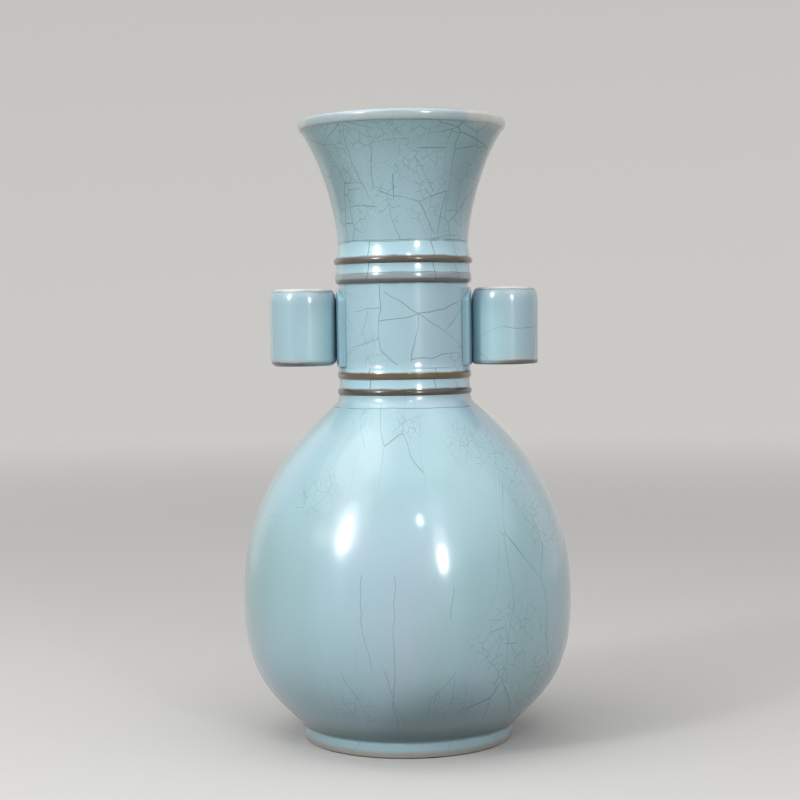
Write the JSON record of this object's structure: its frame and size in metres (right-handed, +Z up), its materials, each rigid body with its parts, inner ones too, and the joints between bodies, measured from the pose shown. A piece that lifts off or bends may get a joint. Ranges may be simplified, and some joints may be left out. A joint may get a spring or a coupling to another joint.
{
  "type": "vase",
  "caption": "Crackle-glazed stoneware vase with a globe belly on a foot ring, a straight neck between raised string bands, upright tubular ears and a flared mouth.",
  "frame": {"origin": "centre of the circle that the foot ring stands on", "axes": "+Z up along the vase's axis; the ears stand on +X and -X, and -Y is the side that faces the viewer"},
  "size_m": [0.1382, 0.1382, 0.26],
  "materials": {
    "crackle_glaze": "glossy sky blue with a net of fine dark crackle",
    "thin_glaze": "glossy, brown where the glaze runs thin over a raised edge",
    "foot_glaze": "glossy sky blue, wiped to dull brown stoneware where it stands"
  },
  "bodies": {
    "root": {"foot_ring": "foot_glaze", "belly_lower": "crackle_glaze", "belly_upper": "crackle_glaze", "neck": "crackle_glaze", "mouth": "crackle_glaze", "string_lower": "thin_glaze", "string_lower_middle": "thin_glaze", "string_upper_middle": "thin_glaze", "string_upper": "thin_glaze", "saddle_left": "crackle_glaze", "saddle_right": "crackle_glaze", "ear_left": "crackle_glaze", "ear_right": "crackle_glaze"}
  },
  "joints": []
}
